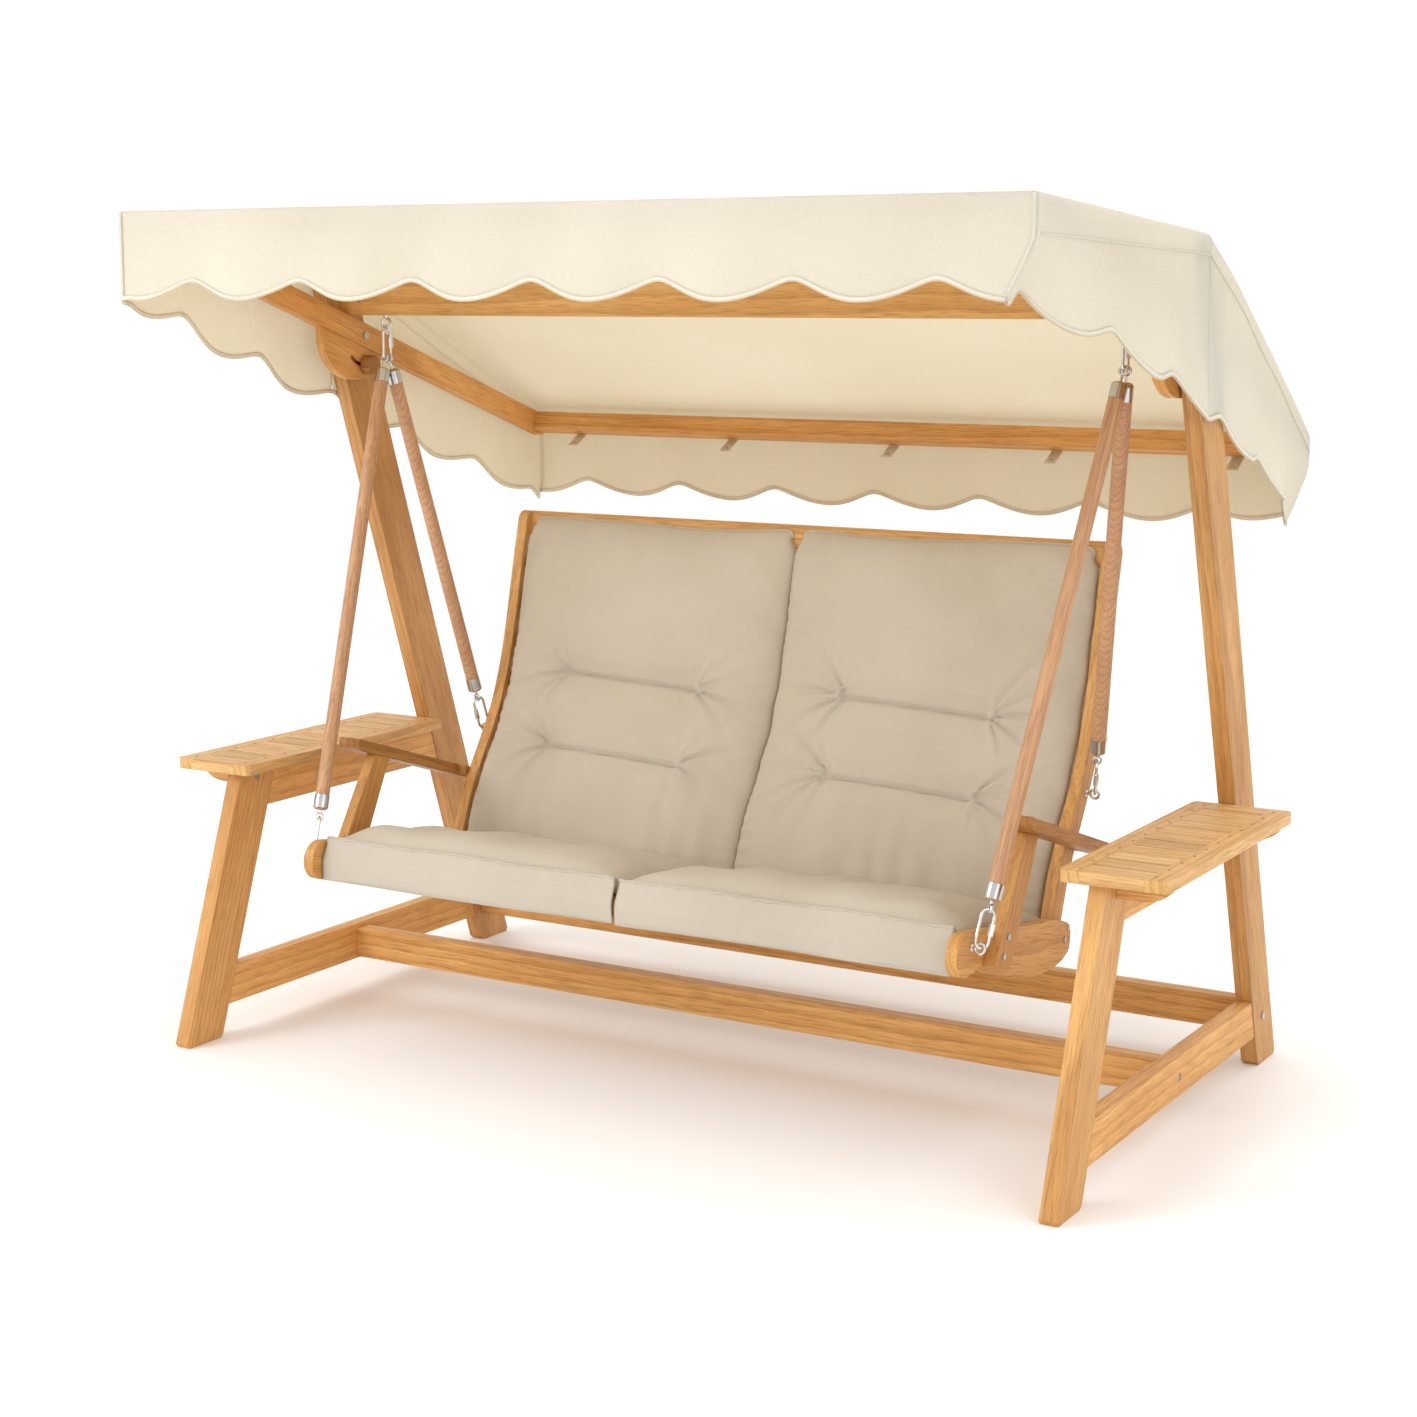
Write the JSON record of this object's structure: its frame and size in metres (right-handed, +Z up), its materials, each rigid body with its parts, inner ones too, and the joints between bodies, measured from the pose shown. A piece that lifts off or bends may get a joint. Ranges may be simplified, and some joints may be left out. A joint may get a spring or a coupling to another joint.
{
  "type": "garden swing seat",
  "caption": "Free-standing wooden garden swing with a cushioned two-place seat on hanging rods, slatted side tables and a tilting fabric canopy.",
  "frame": {"origin": "on the floor, midway between the canopy's front and rear edges and on the plane of symmetry", "axes": "+Z up, +X to the viewer's right seen from the front, the seat faces -Y"},
  "size_m": [2.588, 1.664, 1.999],
  "materials": {
    "oiled_wood": "oiled, open grain",
    "rod_wood": "oiled, open grain",
    "steel": "bright zinc plate",
    "canopy_fabric": "plain weave awning cloth",
    "cushion_fabric": "plain weave",
    "webbing": "woven tape"
  },
  "bodies": {
    "frame": {"left_front_leg": "oiled_wood", "right_front_leg": "oiled_wood", "left_rear_post": "oiled_wood", "right_rear_post": "oiled_wood", "left_lower_rail": "oiled_wood", "right_lower_rail": "oiled_wood", "left_table_rail": "oiled_wood", "right_table_rail": "oiled_wood", "left_table_frame": "oiled_wood", "right_table_frame": "oiled_wood", "left_table_slats": "oiled_wood", "right_table_slats": "oiled_wood", "table_bearers": "oiled_wood", "centre_stretcher": "oiled_wood", "rear_stretcher": "oiled_wood", "top_beam": "oiled_wood", "frame_bolts": "steel", "frame_barrel_nuts": "steel", "beam_eyebolts": "steel", "canopy_cover_ridge": "canopy_fabric"},
    "canopy_frame": {"left_canopy_arm": "oiled_wood", "right_canopy_arm": "oiled_wood", "left_tilt_plate": "oiled_wood", "right_tilt_plate": "oiled_wood", "canopy_front_bar": "oiled_wood", "canopy_rear_bar": "oiled_wood", "canopy_pivot_bolts": "steel", "canopy_cover_front": "canopy_fabric", "canopy_cover_rear": "canopy_fabric", "canopy_straps": "webbing", "canopy_studs": "steel"},
    "left_tilt_knob": {"left_tilt_knob": "oiled_wood"},
    "right_tilt_knob": {"right_tilt_knob": "oiled_wood"},
    "swing": {"left_side_plate": "oiled_wood", "right_side_plate": "oiled_wood", "left_arm_post": "oiled_wood", "right_arm_post": "oiled_wood", "left_armrest": "oiled_wood", "right_armrest": "oiled_wood", "left_back_post": "oiled_wood", "right_back_post": "oiled_wood", "arm_spacers": "oiled_wood", "back_top_rail": "oiled_wood", "seat_front_rail": "oiled_wood", "seat_rear_rail": "oiled_wood", "seat_slats": "oiled_wood", "back_slats": "oiled_wood", "seat_bearers": "oiled_wood", "seat_bolts": "steel", "hanger_rods": "rod_wood", "rod_ferrules": "steel", "rod_eyes": "steel", "quick_links": "steel", "link_nuts": "steel", "seat_eyebolts": "steel", "left_seat_cushion": "cushion_fabric", "right_seat_cushion": "cushion_fabric", "left_back_cushion": "cushion_fabric", "right_back_cushion": "cushion_fabric"}
  },
  "joints": [
    {"name": "seat_swing", "type": "hinge", "parent": "frame", "child": "swing", "pos_m": [0, -0.04, 1.7265], "axis": [1, 0, 0], "range_deg": [-18, 18]},
    {"name": "canopy_tilt", "type": "hinge", "parent": "frame", "child": "canopy_frame", "pos_m": [0, -0.005, 1.71], "axis": [1, 0, 0], "range_deg": [0, 38]},
    {"name": "left_knob_turn", "type": "hinge", "parent": "frame", "child": "left_tilt_knob", "pos_m": [-1.08, -0.005, 1.635], "axis": [-1, 0, 0], "continuous": true},
    {"name": "right_knob_turn", "type": "hinge", "parent": "frame", "child": "right_tilt_knob", "pos_m": [1.08, -0.005, 1.635], "axis": [1, 0, 0], "continuous": true}
  ]
}
